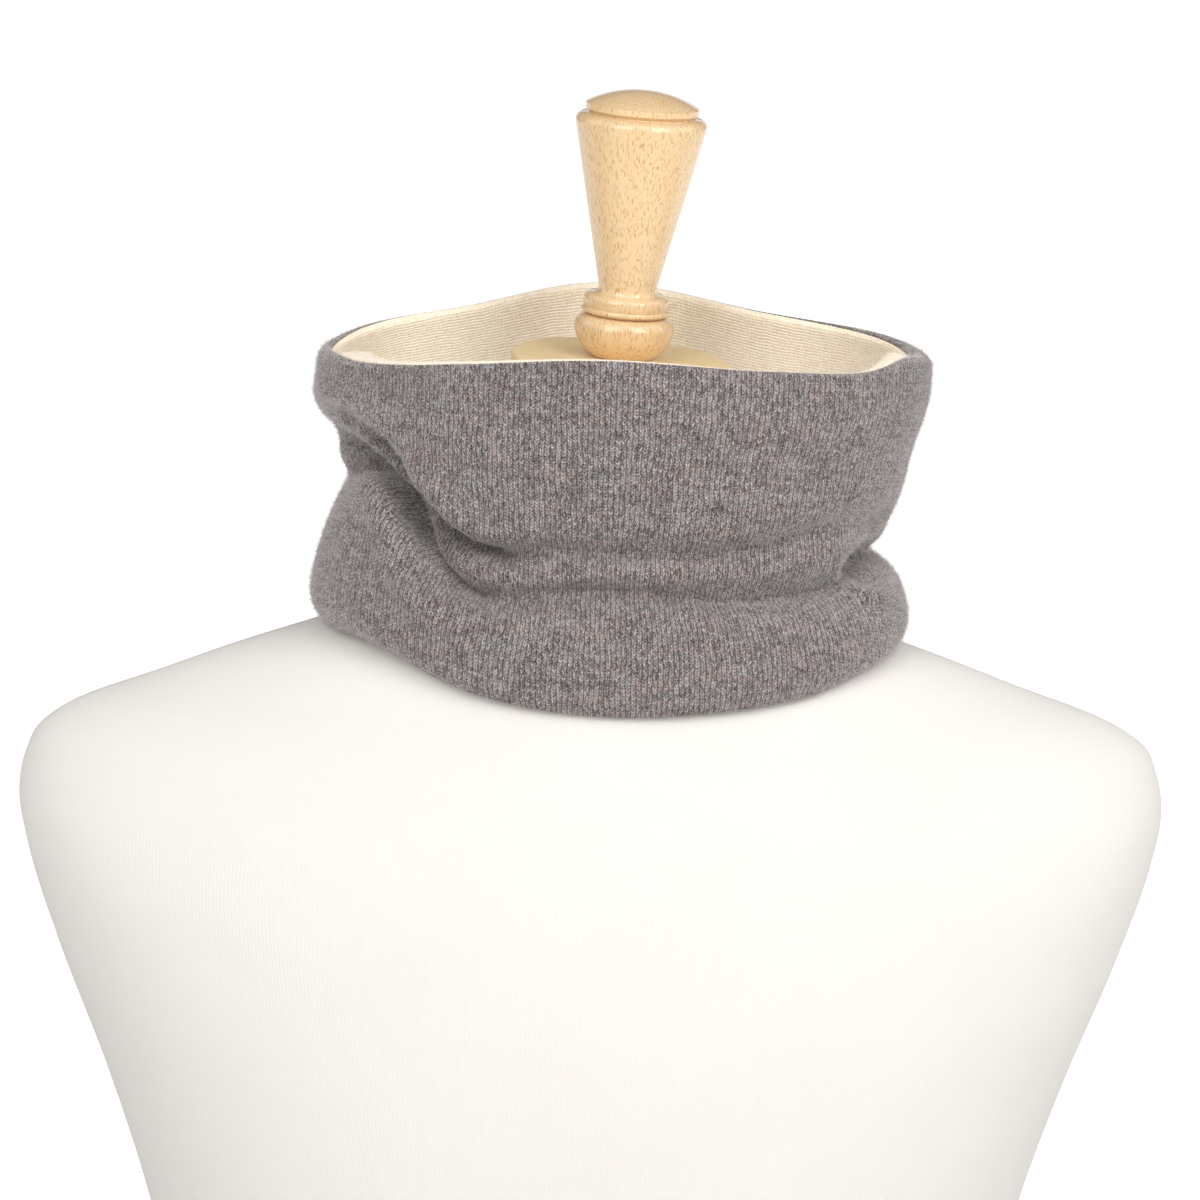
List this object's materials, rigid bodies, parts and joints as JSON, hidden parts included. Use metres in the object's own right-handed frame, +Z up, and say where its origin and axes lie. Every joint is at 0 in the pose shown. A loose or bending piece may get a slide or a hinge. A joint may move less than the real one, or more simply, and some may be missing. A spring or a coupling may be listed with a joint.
{
  "type": "neck warmer on a display form",
  "caption": "Short lined knitted tube slouched in folds round the neck of a limbless dress form with a turned wooden finial, open at its rim and hem.",
  "frame": {"origin": "on the surface the form stands on, under the middle of the part's box", "axes": "+Z up along the form, the form faces -Y, +X to the right as seen from its front"},
  "size_m": [0.461, 0.2262, 0.6659],
  "materials": {
    "jersey_off_white": "matt off-white cotton jersey stretched over the form",
    "birch_disc": "pale wood, matt",
    "rubberwood_lacquered": "light blond turned wood under clear lacquer",
    "wool_knit_taupe_heather": "fine stockinette knit in a taupe-grey heather wool, softly brushed",
    "wool_knit_cream": "fine knit in cream wool, softly brushed"
  },
  "bodies": {
    "root": {"form_torso": "jersey_off_white", "neck_disc": "birch_disc", "finial": "rubberwood_lacquered", "neck_warmer_outer": "wool_knit_taupe_heather", "neck_warmer_lining": "wool_knit_cream"}
  },
  "joints": []
}
